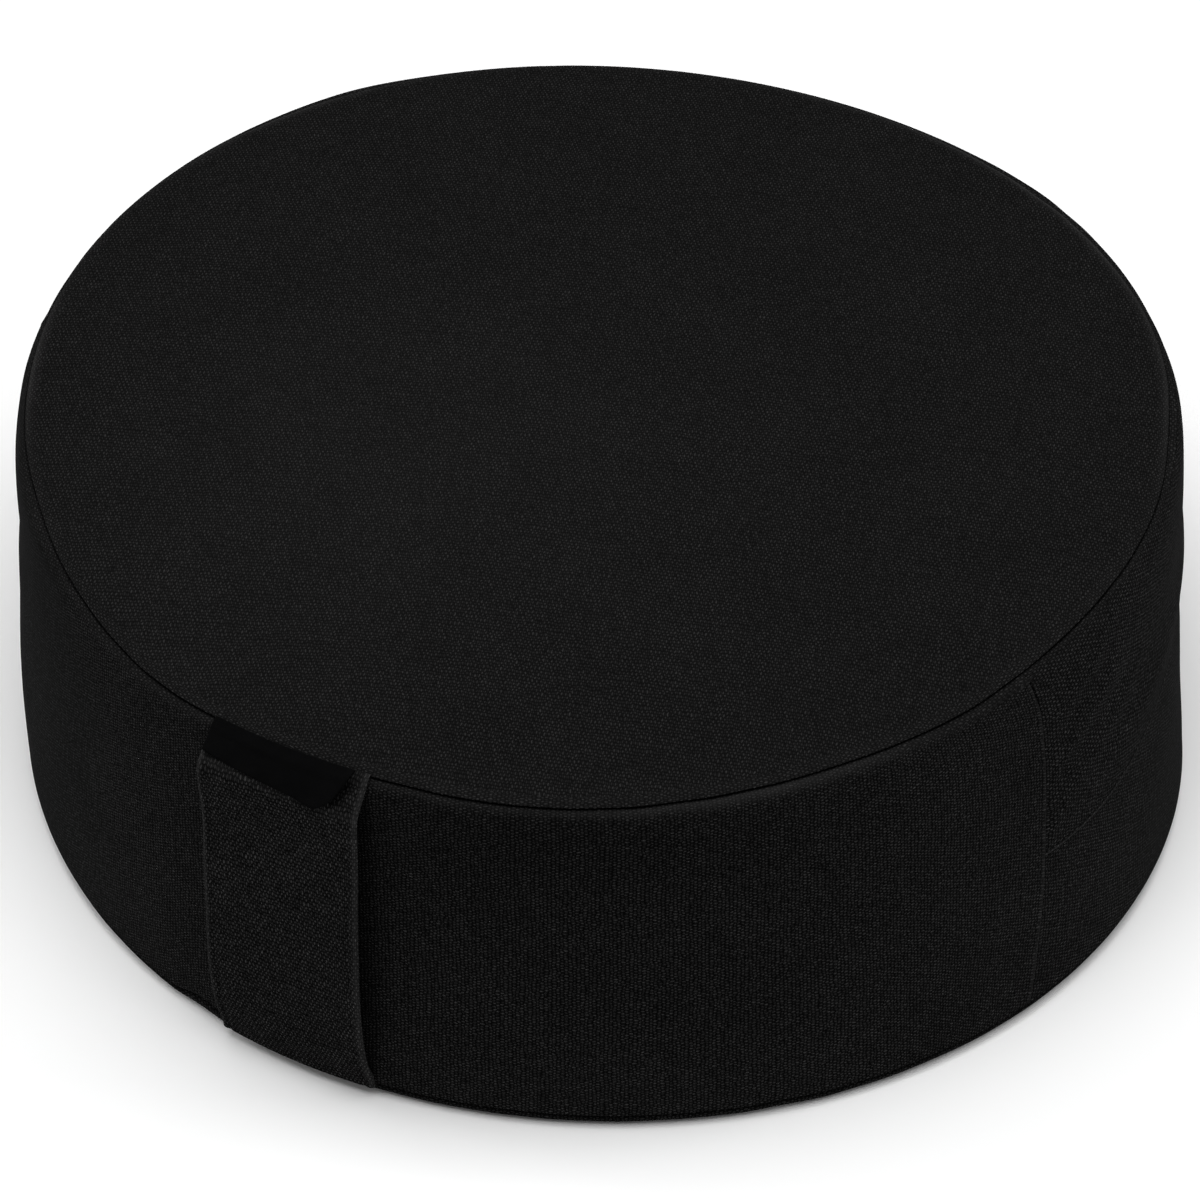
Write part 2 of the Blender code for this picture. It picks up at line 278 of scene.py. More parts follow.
# The shell is made of voxels, shrunk a little and blown up again. How far its points move
# is then cut, blurred and carried over to the skin, fading out towards the seams.
VOXEL = 0.005
SHRINK_FIRST = 0.0020
PRESSURE = 4.0
SIM_FRAMES = 20
MOVE_CAP = 0.010
CLOTH_EXCESS = 0.012
RELIEF_KEPT = 0.6
RELIEF_CAP = 0.0014
PIN_REACH = 0.006
RELIEF_BLUR = 3
GRID_COLUMNS = 240
GRID_ROWS = 25
TOP_RELIEF_ENDS = (0.15, 0.04)
BAND_RELIEF_ENDS = (0.06, 0.06)
TOP_STRAY_FADE = 8

# Soft folds that pull away from the upright seams over the zip flap: where they start past
# the seam, how high, and how much they climb for each metre round the band.
FOLDS = table(
    "starts height slope length rise width",
    (0.002, 0.118, 0.35, 0.050, 0.0009, 0.0050),
    (0.002, 0.098, 0.42, 0.055, 0.0011, 0.0055),
    (0.003, 0.082, 0.38, 0.060, 0.0009, 0.0050),
    (0.004, 0.108, 0.38, 0.045, -0.0008, 0.0040),
    (0.004, 0.090, 0.40, 0.055, -0.0007, 0.0045),
)
FOLD_START_FADE = 0.010
FOLD_END_FADE = 0.020
LAP_SWELL_FADE = 0.004

# ------------------------------ rows, columns and edges

# How finely the skin and the flap are divided. Their rows are closer at seams and folds.
COLUMN_STEP = 1.0
CLOSE_COLUMNS_REACH = 0.7
CLOSE_COLUMNS = 19
PANEL_ROWS = 40
PANEL_ROWS_BEND = 0.9
BAND_ROWS = 46
BASE_ROWS = 12
LAP_COLUMNS = 260
LAP_END_COLUMNS = 9
LAP_END_TURN = 1.2
LAP_ROWS = 26
LAP_ROWS_BEND = 0.8
LAP_EDGE_ROWS = 16
LAP_EDGE_REACH = 0.0060
LAP_FOLD_WIDTH = 0.0005
LAP_FOLD_POINTS = 7
LAP_TOP_DROP = 0.0016

# The strap's faces, and the bead and the row of stitching along its turned edges.
STRAP_STEPS = 5
STRAP_FACE_POINTS = 51
STRAP_FACE_BEND = 1.5
EDGE_POINTS = 9
EDGE_BEAD = 0.00025
EDGE_BEAD_IN = 0.0008
EDGE_BEAD_WIDTH = 0.0009
STITCH_IN = 0.0026
STITCH_WIDTH = 0.0007

# The strap's upper end thins out and goes into the top seam, and the label with it. The
# label is cut askew: it is shorter at its left end, and narrows at its right end towards
# its rounded lower corner. Its right end curls up, with a painted shadow on the strap
# beside it.
STRAP_END = table("level gap hug lean", (1.016, 0.0005, 1.00, 0.0000))
STRAP_END_SHARE = 0.30
STRAP_END_TAPER = 0.0045
STRAP_GRID_LINES = 31
LABEL_LAST_STATION = 4
LABEL_SLANT = 0.0042
LABEL_CORNER = 0.0045
LABEL_CORNER_BEND = 8
LABEL_REACH_RIGHT = -0.0010
LABEL_LEFT_SHARE = 0.76
LABEL_CURL = 0.0020
LABEL_CURL_FROM = 0.75
CURL_SHADOW_OFF = 0.0010
CURL_SHADOW_WIDTH = 0.0012
CURL_SHADOW_ENDS = (0.4, 0.2)
UNDER_LABEL_WIDTH = 0.0011

# ------------------------------ canvas

# Sizes of the weave, in metres: its threads wander slowly and jolt from grain to grain.
FINE_PITCH = 0.00069
COARSE_PITCH = 0.00142
FINE_RUN = 1.0
COARSE_RUN = 0.83
STRAP_GRAIN = 1.06
BAND_GRAIN = 0.93
PANEL_THREADS_AT = 19.6
THREAD_WANDER = 0.0016
THREAD_WANDER_RUN = 0.030
THREAD_JOLT = 1.4
THREAD_JOLT_RUN = 0.0022
LINT_SIZE = 0.0007
BLOTCH_SIZE = 0.045
WEAVE_DEPTH = 0.00025

# How a grain is formed, and how much chance, slubs in its two threads and lint change it.
GRAIN_ROUNDNESS = 0.75
UNDER_GRAIN = 0.30
SLUB_SCALE = 0.9
FINE_SLUB_RUN = 0.12
COARSE_SLUB_RUN = 0.10
COARSE_SLUB_PLACE = 7.0
GRAIN_CHANCE = 0.45
FINE_SLUBS = 0.25
COARSE_SLUBS = 0.20
LINT = 0.50

# The grains stand out more from the mean shade where the cloth is upright than where it
# lies level.
MEAN_GRAIN = 0.212
MEAN_SHADE = 0.82
UPRIGHT_CONTRAST = 3.9
LEVEL_CONTRAST = 2.5
BLOTCH_SHADES = (0.8, 1.2)
CANVAS_COLOUR = (0.0094, 0.0093, 0.0093)
# The strap is the same canvas, coloured a little lighter: painted light.
STRAP_COLOUR = (0.0102, 0.0101, 0.0101)
CANVAS_ROUGHNESS = (0.85, 1.0)
CLOTH_IOR = 1.05
CANVAS_SHEEN = 0.002
CANVAS_SHEEN_ROUGHNESS = 0.5
CANVAS_BUMP = 0.8

LABEL_COLOUR = (0.0020, 0.0020, 0.0021)
LABEL_GRAIN_SIZE = 0.0007
LABEL_BLOTCH_SIZE = 0.009
LABEL_SHADES = (0.6, 1.4)
LABEL_ROUGHNESS = (0.6, 0.8)
LABEL_BUMP = 0.5
LABEL_WEAVE_DEPTH = 0.0001

# Factors of painted light and shade on the canvas's colour: painted shade in grooves and
# stitching, painted highlights on rolled, turned and folded edges and just below the label,
# a painted shadow beside the label's curled end, and a painted shadow under the strap,
# which ends a little way beside it.
GROOVE_SHADE = 0.30
ROLL_SHADE = 2.00
EDGE_SHADE = 1.90
EDGE_SHADE_WIDTH = 0.0007
FOLD_SHADE = 2.30
STITCH_SHADE = 0.45
UNDER_LABEL_SHADE = 1.35
STRAP_SHADOW_SHADE = 0.80
CURL_SHADOW_SHADE = 0.15
STRAP_SHADOW_MARGIN = 0.0003
STRAP_SHADOW_FADE = 0.0010
STRAP_SHADOW_ENDS = (0.05, 0.03)

# ------------------------------ camera and studio

CAMERA_AZIMUTH = 29.7
CAMERA_ELEVATION = 41.0
CAMERA_DISTANCE = 3.0
CAMERA_AIM_HEIGHT = 0.0705
CAMERA_LENS = 261.0
FRAME_RIGHT = 0.0026
FRAME_UP = -0.0101
FLOOR_SIZE = 12.0
FLOOR_COLOUR = (0.94, 0.94, 0.94, 1.0)
FLOOR_ROUGHNESS = 0.9
WORLD_STRENGTH = 0.32
LIGHTS = table(
    "name place size power",
    ("overhead", (0.2, -0.6, 3.0), 2.5, 81.0),
    ("left", (-2.1, -0.5, 0.9), 1.5, 14.5),
    ("right", (2.0, 1.3, 1.2), 1.6, 18.5),
)


# ------------------------------ form, by azimuth

def lobe_offset(lobes, azimuth):
    """Return how far a seam is pushed out of round at each azimuth."""
    return sum(
        lobe.amount * np.cos(np.radians(lobe.count * (azimuth - lobe.towards)))
        for lobe in lobes
    )


def turn_between(azimuth, centre):
    """Return the angle from centre to azimuth, between -180 and 180 degrees."""
    return (np.asarray(azimuth, float) - centre + 180.0) % 360.0 - 180.0


def soft_window(azimuth, centre, reach):
    """Return 1 at centre, falling smoothly to 0 at reach degrees to either side."""
    turn = np.minimum(np.abs(turn_between(azimuth, centre)), reach)
    return 0.5 + 0.5 * np.cos(np.pi * turn / reach)


def smooth_step(share):
    """Return share clamped to 0..1 and eased at both ends."""
    share = np.clip(share, 0.0, 1.0)
    return share * share * (3.0 - 2.0 * share)


def eased_ends(share, ends):
    """Return 1 along a run of 0 to 1, eased to 0 over a share of it at either end."""
    first, last = ends
    return smooth_step(share / first) * smooth_step((1.0 - share) / last)


def bell(offset, width):
    """Return a bell curve of height 1."""
    return np.exp(-((offset / width) ** 2))


def top_seam(azimuth):
    """Return the top seam's radius and height."""
    lift = STRAP_LIFT * soft_window(azimuth, STRAP_LIFT_AT, STRAP_LIFT_REACH)
    radius = TOP_SEAM_RADIUS + lobe_offset(TOP_LOBES, azimuth)
    return radius, TOP_SEAM_HEIGHT + lobe_offset(TOP_TILT, azimuth) + lift


def base_seam(azimuth):
    """Return the base seam's radius and height."""
    radius = BASE_SEAM_RADIUS + lobe_offset(BASE_LOBES, azimuth)
    return radius, BASE_SEAM_HEIGHT + 0.0 * radius


def level_at(azimuth, height):
    """Return a height as a share of the way from the base seam to the top seam."""
    base_height = base_seam(azimuth)[1]
    return (height - base_height) / (top_seam(azimuth)[1] - base_height)


def height_at(azimuth, level):
    """Return the height at a share of the way from the base seam to the top seam."""
    base_height = base_seam(azimuth)[1]
    return base_height + level * (top_seam(azimuth)[1] - base_height)


def wall_radius(azimuth, height):
    """Return the radius of the band's outer face."""
    level = level_at(azimuth, height)
    swing = 2.0 * level - 1.0
    flatness = np.where(swing > 0.0, UPPER_FLATNESS, LOWER_FLATNESS)
    inside = BACK_SWELL_REACH - np.abs(turn_between(azimuth, BACK_SWELL_AT))
    shoulder = SHOULDER_SWELL + BACK_SWELL * smooth_step(inside / BACK_SWELL_FADE)
    swell = BAND_BULGE + shoulder * smooth_step((level - SHOULDER_FROM) / SHOULDER_REACH)
    bulge = swell * np.sqrt(np.maximum(0.0, 1.0 - np.abs(swing) ** flatness))
    hollow = HAND_HOLLOW * soft_window(azimuth, 0.0, HAND_HOLLOW_REACH)
    hollow = hollow * eased_ends(level, HAND_HOLLOW_ENDS)
    base_radius = base_seam(azimuth)[0]
    return base_radius + (top_seam(azimuth)[0] - base_radius) * level + bulge - hollow


def lap_height(azimuth):
    """Return the height of the zip flap's lower edge."""
    past_seam = np.abs(turn_between(azimuth, 0.0)) - UPRIGHT_SEAM_AT
    climb = smooth_step((past_seam - LAP_CLIMB_FROM) / LAP_CLIMB_REACH)
    return LAP_LOW_HEIGHT + (LAP_BACK_HEIGHT - LAP_LOW_HEIGHT) * climb


def polar_points(azimuth, radius, height):
    """Return points from their azimuths, radii and heights, as an array of (..., 3)."""
    angle = np.radians(azimuth)
    height = height + 0.0 * angle
    return np.stack([radius * np.sin(angle), -radius * np.cos(angle), height], axis=-1)


def panel_bumps(bumps, azimuth, radius):
    """Return the sum of the bumps of a table at places on the top panel."""
    here = polar_points(azimuth, radius, 0.0)
    total = 0.0
    for centre, share, amount, reach in bumps:
        middle = polar_points(centre, share * TOP_SEAM_RADIUS, 0.0)
        total = total + amount * bell(np.linalg.norm(here - middle, axis=-1), reach)
    return total


def band_bumps(bumps, azimuth, height):
    """Return the sum of the bumps of a table at places on the band."""
    total = 0.0
    for centre, middle, amount, round_reach, up_reach in bumps:
        away = np.radians(turn_between(azimuth, centre)) * BASE_SEAM_RADIUS
        total = total + amount * bell(away, round_reach) * bell(height - middle, up_reach)
    return total


def panel_height(azimuth, share):
    """Return the top panel's height at a share of the way out to its rolled edge."""
    seam_radius, seam_height = top_seam(azimuth)
    tilt = share * share * (seam_height - TOP_SEAM_HEIGHT)
    crown = CROWN * (1.0 - share**CROWN_FLATNESS)
    swell = panel_bumps(TOP_SWELLS, azimuth, share * seam_radius)
    swell = swell * (1.0 - share**TOP_SWELL_FADE)
    return TOP_SEAM_HEIGHT + tilt + PANEL_ROLL_RISE + crown + swell


# ------------------------------ irregularity

def waves(azimuth, counts, seed):
    """Return a sum of sine waves round the cushion, with seeded phases, of about -1 to 1."""
    draw = np.random.default_rng(seed)
    total = 0.0
    for count in counts:
        phase = draw.uniform(0.0, 2.0 * np.pi)
        weight = draw.uniform(0.5, 1.0)
        total = total + weight * np.sin(np.radians(azimuth) * count + phase)
    return total / math.sqrt(len(counts))


def seam_ripple(azimuth, seed):
    """Return the small waver of a seam line, in metres."""
    return SEAM_RIPPLE * waves(azimuth, RIPPLE_COUNTS, seed)


def drifted(azimuth, level):
    """Return azimuths shifted as the upright seams bow back and drift to the front below."""
    level = np.clip(level, 0.0, 1.0)
    shift = UPRIGHT_DRIFT * (1.0 - level) ** 2 - UPRIGHT_SWAY * 4.0 * level * (1.0 - level)
    near_top = np.maximum(0.0, 1.0 - (1.0 - level) / UPRIGHT_TOP_TURN_REACH)
    shift = shift + UPRIGHT_FORWARD + UPRIGHT_TOP_TURN * near_top**UPRIGHT_TOP_TURN_BEND
    right = soft_window(azimuth, UPRIGHT_SEAM_AT, UPRIGHT_DRIFT_REACH)
    left = soft_window(azimuth, -UPRIGHT_SEAM_AT, UPRIGHT_DRIFT_REACH)
    return azimuth - shift * right + shift * left


def past_upright(azimuth):
    """Return how far past its upright seam an undrifted azimuth lies, in metres."""
    past = np.abs(turn_between(azimuth, 0.0)) - UPRIGHT_SEAM_AT
    return np.radians(past) * BASE_SEAM_RADIUS


def sewn_top(azimuth):
    """Return the radius and height of the top seam as it was sewn, with its strays."""
    radius, height = top_seam(azimuth)
    for stray in TOP_STRAYS:
        near = bell(turn_between(azimuth, stray.azimuth), stray.reach)
        radius = radius + stray.out * near
        height = height + stray.up * near
    return radius, height + seam_ripple(azimuth, RIPPLE_SEED)


def upright_seam(azimuth, level):
    """Return upright seams' relief and painted light and shade, at undrifted azimuths."""
    past = past_upright(azimuth)
    deep = smooth_step((level - UPRIGHT_DEEP_FROM) / UPRIGHT_DEEP_FADE)
    groove = deep * bell(past, UPRIGHT_GROOVE_WIDTH)
    roll = bell(past + UPRIGHT_ROLL_OFF, UPRIGHT_ROLL_WIDTH)
    relief = UPRIGHT_ROLL_RISE * roll - UPRIGHT_GROOVE_DEPTH * groove
    # Painted shade in the groove near the top, and a painted highlight on the rolled edge.
    return relief, 1.0 + (ROLL_SHADE - 1.0) * roll - (1.0 - GROOVE_SHADE) * groove


def painted_highlight(stretches, azimuth):
    """Return how much lighter the painted highlights make the cloth at each azimuth."""
    return sum(
        stretch.amount * bell(turn_between(azimuth, stretch.azimuth), stretch.reach)
        for stretch in stretches
    )


def strap_shadow(azimuth, level):
    """Return how fully the strap's painted shadow darkens the band, from 0 to 1."""
    across = np.abs(np.sin(np.radians(azimuth))) * TOP_SEAM_RADIUS
    front = np.cos(np.radians(azimuth)) > 0.0
    beside = smooth_step((STRAP_WIDTH / 2.0 + STRAP_SHADOW_MARGIN - across) / STRAP_SHADOW_FADE)
    return front * beside * eased_ends(level, STRAP_SHADOW_ENDS)


# ------------------------------ cloth simulation

def added(name, data):
    """Add an object to the scene and return it."""
    made = bpy.data.objects.new(name, data)
    bpy.context.scene.collection.objects.link(made)
    return made


def vectors_of(collection, attribute):
    """Return an attribute of three numbers of every item of a mesh, as an array."""
    numbers = np.zeros(len(collection) * 3)
    collection.foreach_get(attribute, numbers)
    return numbers.reshape(-1, 3)


def is_held(points):
    """Return True for points at the seams and on the floor, which the fill can't move."""
    azimuth = np.degrees(np.arctan2(points[:, 0], -points[:, 1]))
    radius = np.hypot(points[:, 0], points[:, 1])
    held = points[:, 2] < VOXEL / 2.0
    for seam_radius, seam_height in (top_seam(azimuth), base_seam(azimuth)):
        away = np.hypot(radius - seam_radius, points[:, 2] - seam_height)
        held |= away < PIN_REACH
    return held


def swollen_shell():
    """Blow the CAD cushion up like filled cloth that is held at its seams.

    Return a search tree of its faces, the faces, their corners, and how far each corner
    moved outwards.
    """
    shell = added("shell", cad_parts["cushion"].data.copy())
    bpy.context.view_layer.objects.active = shell
    remesh = shell.modifiers.new("remesh", "REMESH")
    remesh.mode = "VOXEL"
    remesh.voxel_size = VOXEL
    bpy.ops.object.modifier_apply(modifier=remesh.name)
    mesh = shell.data
    start = vectors_of(mesh.vertices, "co")
    normals = vectors_of(mesh.vertex_normals, "vector")
    shrunk = start - normals * SHRINK_FIRST
    mesh.vertices.foreach_set("co", shrunk.ravel())
    seams = shell.vertex_groups.new(name="seams")
    seams.add(np.flatnonzero(is_held(start)).tolist(), 1.0, "REPLACE")

    cloth = shell.modifiers.new("cloth", "CLOTH").settings
    cloth.quality = 6
    cloth.mass = 0.3
    cloth.tension_stiffness = 20.0
    cloth.compression_stiffness = 20.0
    cloth.shear_stiffness = 8.0
    cloth.bending_stiffness = 1.5
    cloth.use_pressure = True
    cloth.uniform_pressure_force = PRESSURE
    cloth.effector_weights.gravity = 0.0
    cloth.vertex_group_mass = seams.name
    cloth.shrink_min = -CLOTH_EXCESS
    scene = bpy.context.scene
    for number in range(1, SIM_FRAMES + 1):
        scene.frame_set(number)
    blown = shell.evaluated_get(bpy.context.evaluated_depsgraph_get())
    shift = vectors_of(blown.data.vertices, "co") - shrunk
    scene.frame_set(1)
    length = np.linalg.norm(shift, axis=1, keepdims=True)
    shift *= np.minimum(1.0, MOVE_CAP / np.maximum(length, 1e-9))
    outwards = (shift * normals).sum(axis=1)
    faces = [tuple(polygon.vertices) for polygon in mesh.polygons]
    bpy.data.objects.remove(shell, do_unlink=True)
    return BVHTree.FromPolygons(start.tolist(), faces), faces, start, outwards


def relief_grid(points, shell):
    """Return the simulated unevenness at a grid of points, without its mean round each row."""
    tree, faces, start, outwards = shell
    flat = points.reshape(-1, 3)
    found = np.zeros(len(flat))
    for index, point in enumerate(flat):
        corners = list(faces[tree.find_nearest(Vector(point))[2]])
        away = np.linalg.norm(start[corners] - point, axis=1)
        weight = 1.0 / (away + 0.1 * VOXEL) ** 2
        found[index] = (weight * outwards[corners]).sum() / weight.sum()
    grid = found.reshape(points.shape[:2])
    grid = grid - grid.mean(axis=1, keepdims=True)
    for _ in range(RELIEF_BLUR):
        padded = np.concatenate([grid[:1], grid, grid[-1:]])
        grid = (padded[:-2] + 2.0 * padded[1:-1] + padded[2:]) / 4.0
        grid = (np.roll(grid, 1, axis=1) + 2.0 * grid + np.roll(grid, -1, axis=1)) / 4.0
    return np.clip(RELIEF_KEPT * grid, -RELIEF_CAP, RELIEF_CAP)


def fill_relief():
    """Return the fill's unevenness as two grids: top panel and band."""
    azimuth = np.arange(GRID_COLUMNS) * 360.0 / GRID_COLUMNS
    shell = swollen_shell()
    top = []
    band = []
    for share in np.linspace(0.0, 1.0, GRID_ROWS):
        radius = share * (top_seam(azimuth)[0] - PANEL_ROLL_WIDTH)
        top.append(polar_points(azimuth, radius, panel_height(azimuth, share)))
        height = height_at(azimuth, share)
        band.append(polar_points(azimuth, wall_radius(azimuth, height), height))
    return relief_grid(np.array(top), shell), relief_grid(np.array(band), shell)


def looked_up(grid, share, azimuth):
    """Return a grid's value at shares of its rows and at azimuths, between its points."""
    share, azimuth = np.broadcast_arrays(share, azimuth)
    row = np.clip(share, 0.0, 1.0) * (len(grid) - 1)
    column = np.mod(azimuth, 360.0) / 360.0 * grid.shape[1]
    upper = np.minimum(row.astype(int), len(grid) - 2)
    left = column.astype(int) % grid.shape[1]
    right = (left + 1) % grid.shape[1]
    down = row - upper
    across = column - np.floor(column)
    first = grid[upper, left] * (1.0 - across) + grid[upper, right] * across
    second = grid[upper + 1, left] * (1.0 - across) + grid[upper + 1, right] * across
    return first * (1.0 - down) + second * down


TOP_RELIEF, BAND_RELIEF = fill_relief()


# ------------------------------ surfaces with relief

def top_surface(azimuth, share):
    """Return the top panel's height, with the fill's unevenness."""
    relief = eased_ends(share, TOP_RELIEF_ENDS) * looked_up(TOP_RELIEF, share, azimuth)
    stray = sewn_top(azimuth)[1] - top_seam(azimuth)[1]
    return panel_height(azimuth, share) + relief + share**TOP_STRAY_FADE * stray


def wrinkle_relief(azimuth, height):
    """Return the soft folds that pull from the upright seams and the zip flap's swell."""
    past = past_upright(azimuth)
    above = height - lap_height(azimuth)
    on_back = smooth_step(past / LAP_SWELL_FADE)
    relief = on_back * LAP_SWELL_RISE * bell(above - LAP_SWELL_UP, LAP_SWELL_REACH)
    for fold in FOLDS:
        along = past - fold.starts
        centre = fold.height + fold.slope * along
        length = smooth_step(along / FOLD_START_FADE)
        length = length * smooth_step((fold.length - along) / FOLD_END_FADE)
        relief = relief + fold.rise * length * bell(height - centre, fold.width)
    return relief


def band_radius(azimuth, height):
    """Return the radius of the band's outer face, with the fill's unevenness and folds."""
    level = level_at(azimuth, height)
    relief = looked_up(BAND_RELIEF, level, azimuth) + wrinkle_relief(azimuth, height)
    relief = eased_ends(level, BAND_RELIEF_ENDS) * relief
    lumps = eased_ends(level, LUMP_ENDS) * band_bumps(LUMPS, azimuth, height)
    return wall_radius(azimuth, height) + relief + lumps


def lap_inset(azimuth, height):
    """Return how far the body lies inside the band's outer face, to make room for the flap."""
    on_back = smooth_step(past_upright(azimuth) / UPRIGHT_DROP_WIDTH)
    settled = smooth_step((lap_height(azimuth) - height) / LAP_SETTLE)
    above = smooth_step((top_seam(azimuth)[1] - height) / LAP_TOP_DROP)
    return (LAP_THICKNESS + SEAT_GAP) * on_back * (1.0 - settled) * above


# ------------------------------ meshes

def catmull_rom(rows, steps):
    """Return rows of points joined by a smooth curve, with steps rows for each span."""
    rows = np.asarray(rows)
    padded = np.concatenate([2 * rows[:1] - rows[1:2], rows, 2 * rows[-1:] - rows[-2:-1]])
    made = []
    for index in range(1, len(rows)):
        a, b, c, d = padded[index - 1:index + 3]
        for step in range(steps):
            t = step / steps
            made.append(0.5 * (
                2 * b + (c - a) * t + (2 * a - 5 * b + 4 * c - d) * t**2
                + (3 * b - a - 3 * c + d) * t**3
            ))
    made.append(rows[-1])
    return np.array(made)


def shaded(points, shade):
    """Return points with the painted light and shade there as their fourth number."""
    shade = np.broadcast_to(shade, points.shape[:-1])
    return np.concatenate([points, shade[..., None]], axis=-1)


def skin_points(azimuth, radius, height, shade=1.0):
    """Return shaded points from their azimuths, radii and heights."""
    return shaded(polar_points(azimuth, radius, height), shade)


def new_piece(name, points, faces, places, material):
    """Make a smooth object from shaded points and each face corner's place in the cloth."""
    mesh = bpy.data.meshes.new(name)
    mesh.from_pydata(points[:, :3].tolist(), [], faces)
    shades = mesh.attributes.new("shade", "FLOAT", "POINT")
    shades.data.foreach_set("value", points[:, 3].astype(np.float32))
    layer = mesh.uv_layers.new(name="cloth")
    layer.data.foreach_set("uv", np.asarray(places, np.float32).ravel())
    mesh.materials.append(material)
    mesh.shade_smooth()
    return added(name, mesh)


def path_length(rows):
    """Return the mean length from the first row of points to each row."""
    steps = np.linalg.norm(np.diff(rows[..., :3], axis=0), axis=-1).mean(axis=1)
    return np.concatenate([[0.0], np.cumsum(steps)])


def on_panel(points):
    """Return points' places in a panel's cloth, whose threads lie at an angle."""
    turn = math.radians(PANEL_THREADS_AT)
    x, y = points[..., 0], points[..., 1]
    across = x * math.cos(turn) + y * math.sin(turn)
    along = y * math.cos(turn) - x * math.sin(turn)
    return np.stack([across, along], axis=-1)


def wrapped(grid):
    """Return a grid with its first column again after its last."""
    return np.concatenate([grid, grid[:, :1]], axis=1)


def quad_corners(grid):
    """Return a grid's values at the four corners of each of its quads."""
    return np.stack([grid[:-1, :-1], grid[1:, :-1], grid[1:, 1:], grid[:-1, 1:]], axis=2)


def tube_piece(name, loops, material):
    """Make a closed piece from loops of shaded points, with a flat face on each end."""
    loops = np.asarray(loops)
    indices = np.arange(loops.shape[0] * loops.shape[1]).reshape(loops.shape[:2])
    along = path_length(loops)
    across = path_length(np.swapaxes(wrapped(loops), 0, 1))
    places = np.stack(np.meshgrid(across, along), axis=-1)
    facing_out = [0, 3, 2, 1]
    faces = quad_corners(wrapped(indices))[:, :, facing_out].reshape(-1, 4).tolist()
    faces += [indices[0, ::-1].tolist(), indices[-1].tolist()]
    corners = quad_corners(places)[:, :, facing_out].reshape(-1, 2)
    corners = np.concatenate([corners, places[0, -2::-1], places[-1, :-1]])
    return new_piece(name, loops.reshape(-1, 4), faces, corners, material)


# ------------------------------ canvas body

def skin_azimuths():
    """Return the azimuths of the skin's columns, closer at the seams and the strap's edges."""
    strap_edge = math.degrees(math.asin(STRAP_WIDTH / 2.0 / TOP_SEAM_RADIUS))
    lines = [UPRIGHT_SEAM_AT, strap_edge, 360.0 - strap_edge, 360.0 - UPRIGHT_SEAM_AT]
    plain = np.arange(0.0, 360.0, COLUMN_STEP)
    far = [min(abs(azimuth - line) for line in lines) > CLOSE_COLUMNS_REACH for azimuth in plain]
    offsets = np.linspace(-CLOSE_COLUMNS_REACH, CLOSE_COLUMNS_REACH, CLOSE_COLUMNS)
    close = [line + offset for line in lines for offset in offsets]
    return np.sort(np.concatenate([plain[far], close]))


def seam_rows(section, azimuth, radius, height, wear, stretch=1.0):
    """Return the rows of a seam's section, which goes round a seam at a radius and height."""
    # Each point's painted light and shade, with its share of the rim's painted highlight.
    return [
        skin_points(
            azimuth,
            radius + point.out,
            height + point.up * stretch,
            point.shade + wear * point.wear,
        )
        for point in section
    ]


def smooth_halves(section, rows):
    """Return the smoothed rows of a seam's section, on both sides of its deepest point."""
    outs = [point.out for point in section]
    deepest = SEAM_STEPS * outs.index(min(outs))
    smooth = list(catmull_rom(rows, SEAM_STEPS))
    return smooth[:deepest + 1], smooth[deepest:]


def band_row(azimuth, height, start, lip):
    """Return a row of the band between its two seams, with its lip's painted highlight at its
    start.
    """
    level = level_at(azimuth, height)
    here = drifted(azimuth, level)
    relief, seam_shade = upright_seam(azimuth, level)
    radius = band_radius(here, height) + relief - lap_inset(azimuth, height)
    # The lip's painted highlight, fading down the band.
    shade = 1.0 + (lip - 1.0) * bell(start - height, LIP_FADE)
    # Broad painted patches of light and shade on the band.
    shade = shade * (1.0 + band_bumps(PAINTED_BAND_PATCHES, azimuth, height))
    # The strap's painted shadow on the band behind and just beside it.
    shade = shade * (1.0 - (1.0 - STRAP_SHADOW_SHADE) * strap_shadow(azimuth, level))
    return skin_points(here, radius, height, shade * seam_shade)


